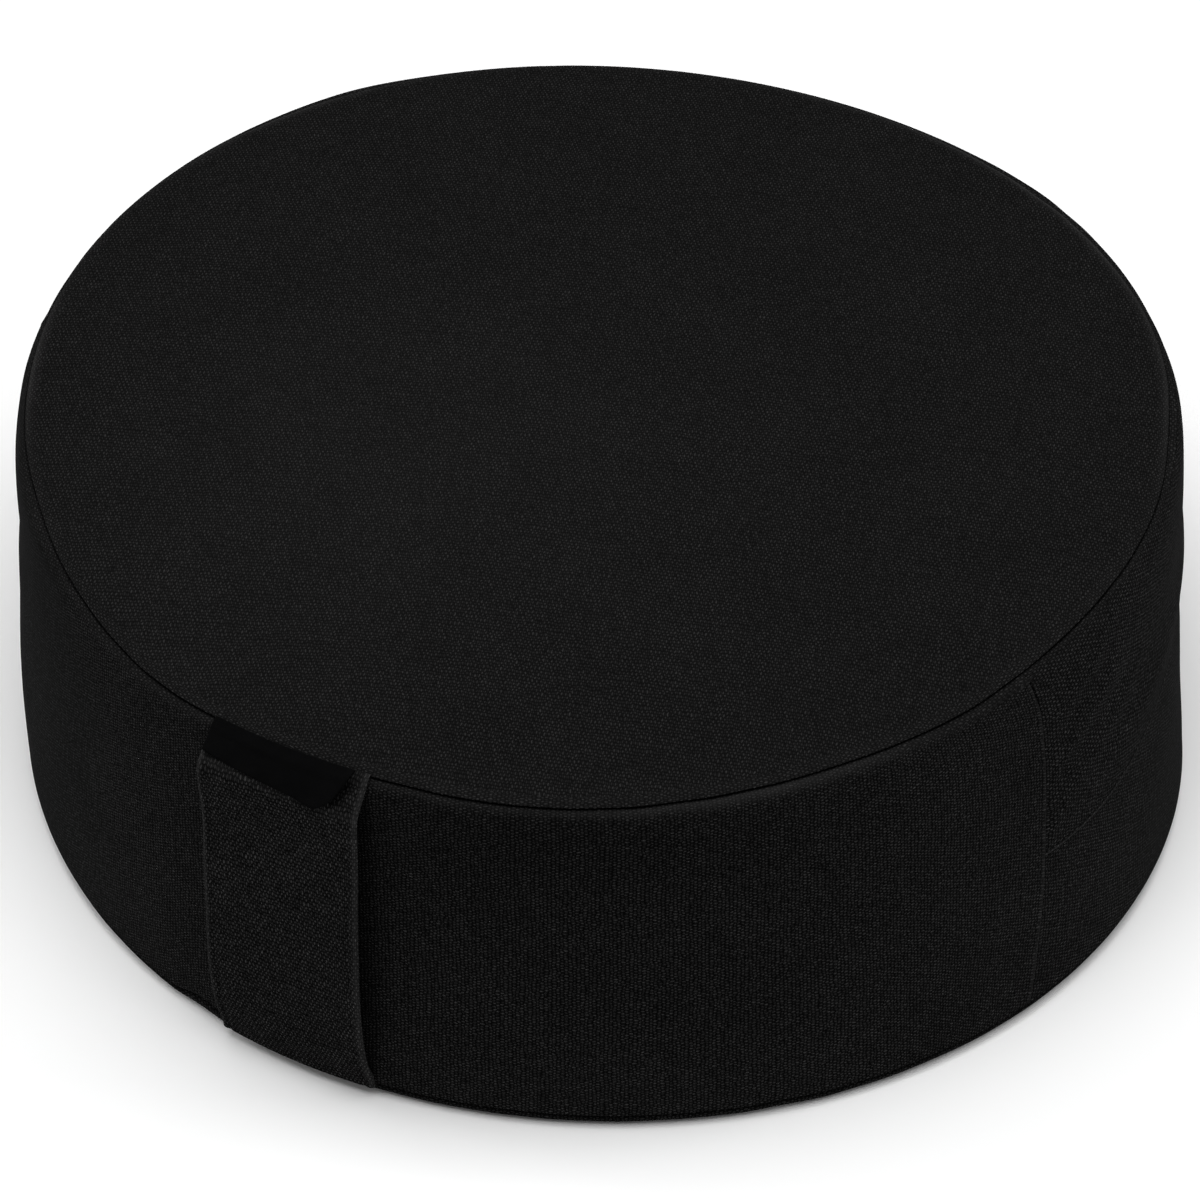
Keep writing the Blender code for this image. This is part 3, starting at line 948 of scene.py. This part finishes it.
def body_rows(azimuth):
    """Return the skin's rows of points from its top to its base, by panel."""
    seam_radius, seam_height = sewn_top(azimuth)
    top = []
    for share in np.linspace(0.0, 1.0, PANEL_ROWS + 1)[1:] ** PANEL_ROWS_BEND:
        radius = share * (seam_radius - PANEL_ROLL_WIDTH)
        # Broad patches painted lighter or darker on the top panel.
        shade = 1.0 + panel_bumps(PAINTED_TOP_PATCHES, azimuth, radius)
        top.append(skin_points(azimuth, radius, top_surface(azimuth, share), shade))
    # Painted highlights on the rim's roll and on the band's lip under it.
    rim = painted_highlight(RIM_HIGHLIGHTS, azimuth)
    lip = LIP_SHADE + painted_highlight(LIP_HIGHLIGHTS, azimuth)
    section = seam_rows(TOP_SEAM_SECTION, azimuth, seam_radius, seam_height, rim)
    section[-1][:, 3] = lip
    start = seam_height + BAND_START
    section.append(skin_points(azimuth, band_radius(azimuth, start), start, lip))
    rim_rows, band = smooth_halves(TOP_SEAM_SECTION, section)

    here = drifted(azimuth, 0.0)
    foot_radius, foot_height = base_seam(here)
    foot_height = foot_height + seam_ripple(here, RIPPLE_SEED + 1)
    lift = FOOT_LIFT * soft_window(here, FOOT_LIFT_AT, FOOT_LIFT_REACH)
    stretch = 1.0 + lift / foot_height
    foot_height = foot_height + lift
    end = foot_height + BASE_SEAM_SECTION[0].up
    even = np.linspace(0.0, 1.0, BAND_ROWS + 2)
    eased = 0.5 - 0.5 * np.cos(np.pi * even)
    for share in (0.5 * eased + 0.5 * even)[1:-1]:
        band.append(band_row(azimuth, start + (end - start) * share, start, lip))

    section = seam_rows(BASE_SEAM_SECTION, here, foot_radius, foot_height, 0.0, stretch)
    foot_rows, base = smooth_halves(BASE_SEAM_SECTION, section)
    for share in np.linspace(1.0, 0.0, BASE_ROWS + 1)[:-1]:
        base.append(skin_points(here, share * (foot_radius - BASE_ROLL_WIDTH), 0.0))
    return np.array(top + rim_rows), np.array(band + foot_rows), np.array(base)


def make_body(material):
    """Make the filled body: top panel, band and base panel, sewn to each other."""
    azimuth = skin_azimuths()
    count = len(azimuth)
    top, band, base = body_rows(azimuth)
    rows = np.concatenate([top, band[1:], base[1:]])
    points = rows.reshape(-1, 4)
    indices = np.arange(len(points)).reshape(len(rows), count)
    faces = quad_corners(wrapped(indices)).reshape(-1, 4).tolist()

    turns = np.append(azimuth, azimuth[0] + 360.0)
    band_places = np.meshgrid(
        path_length(band), np.radians(turns) * BASE_SEAM_RADIUS, indexing="ij"
    )
    places = [
        quad_corners(on_panel(wrapped(top))),
        quad_corners(np.stack(band_places, axis=-1) / BAND_GRAIN),
        quad_corners(on_panel(wrapped(base))),
    ]

    middles = np.array([rows[0].mean(axis=0), (0.0, 0.0, 0.0, 1.0)])
    points = np.concatenate([points, middles])
    following = np.roll(np.arange(count), -1)
    last = indices[-1]
    for column in range(count):
        faces.append([len(points) - 2, column, int(following[column])])
        faces.append([len(points) - 1, int(last[following[column]]), int(last[column])])
    caps = np.array(faces[-2 * count:])
    places.append(on_panel(points[caps]))
    places = np.concatenate([corners.reshape(-1, 2) for corners in places])
    return new_piece("canvas_body", points, faces, places, material)


# ------------------------------ zip flap

def flap_section(azimuth):
    """Return the flap's section at an azimuth, as points of radius, height and shade."""
    seam_radius, seam_height = sewn_top(azimuth)
    edge = lap_height(azimuth)
    start = seam_height + BAND_START
    low = edge + LAP_THICKNESS / 2.0
    turn = low + LAP_EDGE_REACH
    plain = start + (turn - start) * np.linspace(0.0, 1.0, LAP_ROWS) ** LAP_ROWS_BEND
    height = np.concatenate([plain[:-1], np.linspace(turn, low, LAP_EDGE_ROWS)])
    stitched = bell(height - edge - LAP_STITCH_UP, LAP_STITCH_WIDTH)
    folded = bell(height - low, LAP_FOLD_WIDTH)
    radius = band_radius(drifted(azimuth, level_at(azimuth, height)), height)
    radius = radius - LAP_STITCH_DEPTH * stitched
    # A painted highlight along the folded edge, and painted shade in the stitching's groove.
    shade = 1.0 + (FOLD_SHADE - 1.0) * folded - (1.0 - STITCH_SHADE) * stitched
    outer = [
        (seam_radius + point.out, seam_height + point.up, point.shade)
        for point in TOP_SEAM_SECTION[-2:]
    ]
    outer = np.array([*outer, *zip(radius, height, shade)])
    outer[:, 0] -= LAP_END_DIP * bell(past_upright(azimuth), LAP_END_REACH)
    around = np.radians(np.linspace(0.0, 180.0, LAP_FOLD_POINTS)[1:-1])
    fold = np.tile(outer[-1], (len(around), 1))
    fold[:, 0] -= LAP_THICKNESS / 2.0 * (1.0 - np.cos(around))
    fold[:, 1] -= LAP_THICKNESS / 2.0 * np.sin(around)
    fold[:, 2] = FOLD_SHADE
    inner = outer[:2:-1] - (LAP_THICKNESS, 0.0, 0.0)
    inner[:, 2] = 1.0
    return np.concatenate([outer, fold, inner])


def make_lap(material):
    """Make the flap over the zip, with its folded and stitched lower edge."""
    reach = 180.0 - UPRIGHT_SEAM_AT - LAP_START
    end = np.linspace(reach - LAP_END_TURN, reach, LAP_END_COLUMNS)[1:]
    middle = np.linspace(LAP_END_TURN - reach, reach - LAP_END_TURN, LAP_COLUMNS)
    loops = []
    for azimuth in 180.0 + np.concatenate([-end[::-1], middle, end]):
        radius, height, shade = flap_section(azimuth).T
        here = drifted(azimuth, level_at(azimuth, height))
        loops.append(skin_points(here, radius, height, shade))
    return tube_piece("zip_flap", loops, material)


# ------------------------------ strap and label

def wall_point(x, level):
    """Return the band's outer face on the strap's side, as (y, height), at x and a level."""
    azimuth = math.degrees(math.asin(x / TOP_SEAM_RADIUS))
    height = float(height_at(azimuth, level))
    radius = float(band_radius(azimuth, height))
    return -math.sqrt(radius * radius - x * x), height


def strap_line(x):
    """Return the strap's inner face at x, from its upper to its lower end."""
    across = 2.0 * x / STRAP_WIDTH
    line = []
    for station in STRAP_END + STRAP_STATIONS:
        middle, _ = wall_point(0.0, station.level)
        beside, height = wall_point(x, station.level)
        reach = middle + station.hug * (beside - middle)
        line.append((x, reach - station.gap - station.lean * across, height))
    return catmull_rom(line, STRAP_STEPS)


class StrapFace:
    """The strap's inner face, as lines of points down it and their outward directions."""

    def __init__(self):
        self.across = np.linspace(-0.5, 0.5, STRAP_GRID_LINES) * STRAP_WIDTH
        self.lines = np.array([strap_line(x) for x in self.across])
        run = np.gradient(self.lines, axis=1)
        length = np.hypot(run[..., 1], run[..., 2])
        zero = np.zeros_like(length)
        self.outwards = np.stack([zero, run[..., 2] / length, -run[..., 1] / length], axis=-1)
        self.down = path_length(np.swapaxes(self.lines, 0, 1))
        taper = smooth_step(self.down / STRAP_END_TAPER)
        self.thinned = STRAP_END_SHARE + (1.0 - STRAP_END_SHARE) * taper

    def point(self, row, x, lift):
        """Return the point that lies a lift outside the face, at x and part-way between rows."""
        first = min(int(row), len(self.down) - 2)
        place = [x, 0.0, 0.0]
        for axis in (1, 2):
            above, below = (
                np.interp(x, self.across, self.lines[:, here, axis])
                + lift * np.interp(x, self.across, self.outwards[:, here, axis])
                for here in (first, first + 1)
            )
            place[axis] = above + (row - first) * (below - above)
        return place


def strip_section(width, thickness, bead):
    """Return a flat strip's section with turned edges, as (across, lift, shade) points.

    It starts at the -X edge of the outer face and goes round through the inner face.
    """
    centre = (width - thickness) / 2.0
    face = np.linspace(-1.0, 1.0, STRAP_FACE_POINTS)
    face = np.sign(face) * (1.0 - (1.0 - np.abs(face)) ** STRAP_FACE_BEND) * centre
    from_edge = centre - np.abs(face)
    swell = bell(from_edge - EDGE_BEAD_IN, EDGE_BEAD_WIDTH)
    swell = swell - bell(from_edge - STITCH_IN, STITCH_WIDTH)
    # The turned edges are painted lighter: a painted highlight.
    shade = 1.0 + (EDGE_SHADE - 1.0) * bell(from_edge, EDGE_SHADE_WIDTH)
    outer = [(x, thickness + bead * rise, tone) for x, rise, tone in zip(face, swell, shade)]
    right = []
    for turn in np.radians(np.linspace(90.0, -90.0, EDGE_POINTS)[1:-1]):
        lift = thickness / 2.0 * (1.0 + math.sin(turn))
        right.append((centre + thickness / 2.0 * math.cos(turn), lift, EDGE_SHADE))
    inner = [(x, 0.0, 1.0) for x in face[::-1]]
    left = [(-x, lift, tone) for x, lift, tone in right[::-1]]
    return np.array(outer + right + inner + left)


def label_right(down):
    """Return where the label ends at its right, at a share of the way down it."""
    full = LABEL_SHIFT + LABEL_WIDTH / 2.0 + LABEL_REACH_RIGHT
    return full - LABEL_SLANT * down - LABEL_CORNER * down**LABEL_CORNER_BEND


def make_strap(face, material):
    """Make the carrying strap."""
    across, lift, shade = strip_section(STRAP_WIDTH, STRAP_THICKNESS, EDGE_BEAD).T
    label_end = face.down[LABEL_LAST_STATION * STRAP_STEPS]
    share = (across + LABEL_WIDTH / 2.0 - LABEL_SHIFT) / LABEL_WIDTH
    lower_edge = label_end * (1.0 - (1.0 - LABEL_LEFT_SHARE) * (1.0 - share))
    loops = []
    for row, (down, thinned) in enumerate(zip(face.down, face.thinned)):
        points = [face.point(row, x, thinned * rise) for x, rise in zip(across, lift)]
        # A painted highlight along the strap just below the label's lower edge.
        lit = bell(down - lower_edge - UNDER_LABEL_WIDTH, UNDER_LABEL_WIDTH)
        # A painted shadow on the strap beside the label's curled right end.
        beside = across - label_right(min(1.0, down / label_end)) - CURL_SHADOW_OFF
        curl_shadow = eased_ends(down / label_end, CURL_SHADOW_ENDS) * bell(beside, CURL_SHADOW_WIDTH)
        tone = 1.0 + (UNDER_LABEL_SHADE - 1.0) * lit - (1.0 - CURL_SHADOW_SHADE) * curl_shadow
        loops.append(shaded(np.array(points), shade * tone))
    return tube_piece("strap_cloth", loops, material)


def make_label(face, material):
    """Make the plain label on the strap's upper end."""
    across, lift, shade = strip_section(LABEL_WIDTH, LABEL_THICKNESS, 0.0).T
    last = LABEL_LAST_STATION * STRAP_STEPS
    left = LABEL_SHIFT - LABEL_WIDTH / 2.0
    share = (across + LABEL_WIDTH / 2.0) / LABEL_WIDTH
    loops = []
    for row in range(last + 1):
        down = face.down[row] / face.down[last]
        right = label_right(down)
        seat = face.thinned[row] * STRAP_THICKNESS + SEAT_GAP
        curl = smooth_step((share - LABEL_CURL_FROM) / (1.0 - LABEL_CURL_FROM))
        rows = row * (LABEL_LEFT_SHARE + (1.0 - LABEL_LEFT_SHARE) * share)
        rises = seat + LABEL_CURL * down * curl + face.thinned[row] * lift
        places = zip(rows, left + share * (right - left), rises)
        points = [face.point(here, x, rise) for here, x, rise in places]
        loops.append(shaded(np.array(points), shade))
    return tube_piece("plain_label", loops, material)


# ------------------------------ materials

class Shader:
    """Adds and links the nodes of one material."""

    def __init__(self, name):
        self.material = bpy.data.materials.new(name)
        self.material.use_nodes = True
        self.tree = self.material.node_tree

    def feed(self, node, inputs):
        """Link each input of a node to an output, or set it to a number or colour."""
        for name, value in inputs.items():
            if isinstance(value, bpy.types.NodeSocket):
                self.tree.links.new(value, node.inputs[name])
            else:
                node.inputs[name].default_value = value

    def node(self, kind, inputs, **settings):
        """Add a node, set its properties, feed its inputs and return its outputs."""
        made = self.tree.nodes.new("ShaderNode" + kind)
        for name, value in settings.items():
            setattr(made, name, value)
        self.feed(made, inputs)
        return made.outputs

    def surface(self, inputs):
        """Feed the inputs of the surface and return the material."""
        self.feed(self.tree.nodes["Principled BSDF"], inputs)
        return self.material

    def math(self, operation, first, second=0.0, third=0.0):
        """Return the result of a Math node."""
        return self.node("Math", {0: first, 1: second, 2: third}, operation=operation)[0]

    def product(self, first, *factors):
        """Return the product of all the values."""
        for factor in factors:
            first = self.math("MULTIPLY", first, factor)
        return first

    def cloth_place(self):
        """Return the place in the cloth, in metres."""
        return self.node("UVMap", {}, uv_map="cloth")[0]

    def noise(self, place, scale, detail=2.0, roughness=0.5):
        """Return noise of about 0 to 1."""
        inputs = {"Vector": place, "Scale": scale, "Detail": detail, "Roughness": roughness}
        return self.node("TexNoise", inputs)[0]

    def joined(self, x, y, z=0.0):
        """Return a vector from three values."""
        return self.node("CombineXYZ", {0: x, 1: y, 2: z})[0]

    def spread(self, value, low, high):
        """Return a value of 0 to 1 mapped to low to high."""
        inputs = {"Value": value, "To Min": low, "To Max": high}
        return self.node("MapRange", inputs, clamp=False)[0]

    def shade_of(self, colour, factor):
        """Return a colour multiplied by a factor."""
        return self.node("VectorMath", {0: colour, "Scale": factor}, operation="SCALE")[0]

    def bump(self, height, strength, depth):
        """Return the surface's direction over a relief."""
        return self.node("Bump", {"Height": height, "Strength": strength, "Distance": depth})[0]


def woven_threads(shader, place, grain_size):
    """Return each place's count of fine and of coarse threads."""
    ways = shader.node("SeparateXYZ", {0: place})
    threads = []
    for way, pitch, run in ((ways[0], FINE_PITCH, FINE_RUN), (ways[1], COARSE_PITCH, COARSE_RUN)):
        wander = shader.math("SUBTRACT", shader.noise(place, run / THREAD_WANDER_RUN), 0.5)
        across = shader.math("MULTIPLY_ADD", wander, THREAD_WANDER, way)
        thread = shader.product(across, 1.0 / (pitch * grain_size))
        jolt = shader.math("SUBTRACT", shader.noise(place, run / THREAD_JOLT_RUN, 1.0), 0.5)
        threads.append(shader.math("MULTIPLY_ADD", jolt, THREAD_JOLT, thread))
    return threads


def weave_height(shader, place, lint, grain_size):
    """Return the height of plain weave of uneven grains, with slubs in both its threads."""
    threads = woven_threads(shader, place, grain_size)
    fine, coarse = threads
    cells = [shader.math("FLOOR", thread) for thread in threads]
    sides = [shader.math("PINGPONG", thread, 0.5) for thread in threads]
    mound = shader.math("POWER", shader.product(*sides, 4.0), GRAIN_ROUNDNESS)
    over = shader.math("FLOORED_MODULO", shader.math("ADD", *cells), 2.0)
    chance = shader.node("TexWhiteNoise", {"Vector": shader.joined(*cells)}, noise_dimensions="2D")
    along_fine = shader.joined(fine, shader.product(coarse, FINE_SLUB_RUN))
    along_coarse = shader.joined(
        shader.product(fine, COARSE_SLUB_RUN), coarse, COARSE_SLUB_PLACE
    )
    height = shader.product(mound, shader.spread(over, UNDER_GRAIN, 1.0))
    for value, amount in (
        (chance[0], GRAIN_CHANCE),
        (shader.noise(along_fine, SLUB_SCALE, 1.0), FINE_SLUBS),
        (shader.noise(along_coarse, SLUB_SCALE, 1.0), COARSE_SLUBS),
        (lint, LINT),
    ):
        height = shader.product(height, shader.spread(value, 1.0 - amount, 1.0 + amount))
    return height


def canvas(name, colour, grain_size):
    """Make plain-woven canvas, with soft blotches and the painted light and shade of its points.
    """
    shader = Shader(name)
    place = shader.cloth_place()
    lint = shader.noise(place, 1.0 / LINT_SIZE, 3.0, 0.7)
    blotch = shader.noise(place, 1.0 / BLOTCH_SIZE, 3.0, 0.6)
    height = weave_height(shader, place, lint, grain_size)
    # The points' painted light and shade, which scales the weave's brightness.
    shade = shader.node("Attribute", {}, attribute_name="shade")["Fac"]
    facing = shader.node("SeparateXYZ", {0: shader.node("NewGeometry", {})["Normal"]})["Z"]
    contrast = shader.spread(facing, UPRIGHT_CONTRAST, LEVEL_CONTRAST)
    above_mean = shader.math("SUBTRACT", height, MEAN_GRAIN)
    relief = shader.product(above_mean, contrast, shader.math("MINIMUM", shade, 1.0))
    bright = shader.math("MULTIPLY_ADD", shade, MEAN_SHADE, relief)
    bright = shader.product(
        shader.math("MAXIMUM", bright, 0.0), shader.spread(blotch, *BLOTCH_SHADES)
    )
    return shader.surface({
        "Base Color": shader.shade_of(colour, bright),
        "Roughness": shader.spread(lint, *CANVAS_ROUGHNESS),
        "IOR": CLOTH_IOR,
        "Sheen Weight": CANVAS_SHEEN,
        "Sheen Roughness": CANVAS_SHEEN_ROUGHNESS,
        "Normal": shader.bump(height, CANVAS_BUMP, WEAVE_DEPTH),
    })


def label_cloth(name, colour):
    """Make the label's smooth dense cloth."""
    shader = Shader(name)
    place = shader.cloth_place()
    grain = shader.noise(place, 1.0 / LABEL_GRAIN_SIZE, 3.0, 0.6)
    blotch = shader.noise(place, 1.0 / LABEL_BLOTCH_SIZE, 3.0, 0.6)
    bright = shader.product(*(shader.spread(value, *LABEL_SHADES) for value in (grain, blotch)))
    return shader.surface({
        "Base Color": shader.shade_of(colour, bright),
        "Roughness": shader.spread(grain, *LABEL_ROUGHNESS),
        "IOR": CLOTH_IOR,
        "Normal": shader.bump(grain, LABEL_BUMP, LABEL_WEAVE_DEPTH),
    })


# ------------------------------ floor, light, camera

def make_floor():
    """Make the plain pale floor."""
    mesh = bpy.data.meshes.new("floor")
    half = FLOOR_SIZE / 2.0
    corners = [(-half, -half, 0.0), (half, -half, 0.0), (half, half, 0.0), (-half, half, 0.0)]
    mesh.from_pydata(corners, [], [(0, 1, 2, 3)])
    mesh.materials.append(Shader("pale_floor").surface({
        "Base Color": FLOOR_COLOUR,
        "Roughness": FLOOR_ROUGHNESS,
        "Specular IOR Level": 0.0,
    }))
    added("floor", mesh)


def aimed(name, data, place, target):
    """Add a light or camera at a place, turned to a target."""
    made = added(name, data)
    made.location = place
    made.rotation_mode = "QUATERNION"
    made.rotation_quaternion = (target - made.location).to_track_quat("-Z", "Y")
    return made


def make_light(light):
    """Make a square soft light that shines on the cushion."""
    data = bpy.data.lights.new(light.name, "AREA")
    data.shape = "SQUARE"
    data.size = light.size
    data.energy = light.power
    aimed(light.name, data, light.place, Vector((0.0, 0.0, CAMERA_AIM_HEIGHT)))


def make_camera():
    """Place the camera where the photograph was taken from."""
    elevation = math.radians(CAMERA_ELEVATION)
    right = Vector(polar_points(CAMERA_AZIMUTH + 90.0, 1.0, 0.0))
    back = Vector(polar_points(CAMERA_AZIMUTH, math.cos(elevation), math.sin(elevation)))
    middle = Vector((0.0, 0.0, CAMERA_AIM_HEIGHT))
    target = middle + right * FRAME_RIGHT + back.cross(right) * FRAME_UP
    data = bpy.data.cameras.new("camera")
    data.lens = CAMERA_LENS
    data.sensor_width = 36.0
    data.clip_start = 0.05
    data.clip_end = 50.0
    place = middle + back * CAMERA_DISTANCE
    bpy.context.scene.camera = aimed("camera", data, place, target)


def make_world():
    """Make the pale studio round the cushion."""
    world = bpy.data.worlds.new("studio")
    bpy.context.scene.world = world
    world.use_nodes = True
    backdrop = world.node_tree.nodes["Background"]
    backdrop.inputs["Color"].default_value = (1.0, 1.0, 1.0, 1.0)
    backdrop.inputs["Strength"].default_value = WORLD_STRENGTH


# ------------------------------ build

def build():
    """Make every piece and hand it to the frame."""
    black = canvas("black_canvas", CANVAS_COLOUR, 1.0)
    face = StrapFace()
    body = make_body(black)
    lap = make_lap(black)
    strap = make_strap(face, canvas("strap_canvas", STRAP_COLOUR, STRAP_GRAIN))
    label = make_label(face, label_cloth("label_cloth", LABEL_COLOUR))
    for piece, node, slot in (
        (body, "cushion", "canvas"),
        (lap, "zip_lap", "flap_canvas"),
        (strap, "handle_strap", "strap_canvas"),
        (label, "label", "label_cloth"),
    ):
        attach(piece, "root")
        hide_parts(node)
    make_floor()
    for light in LIGHTS:
        make_light(light)
    make_world()
    make_camera()


build()
bpy.context.scene.view_settings.view_transform = "Standard"
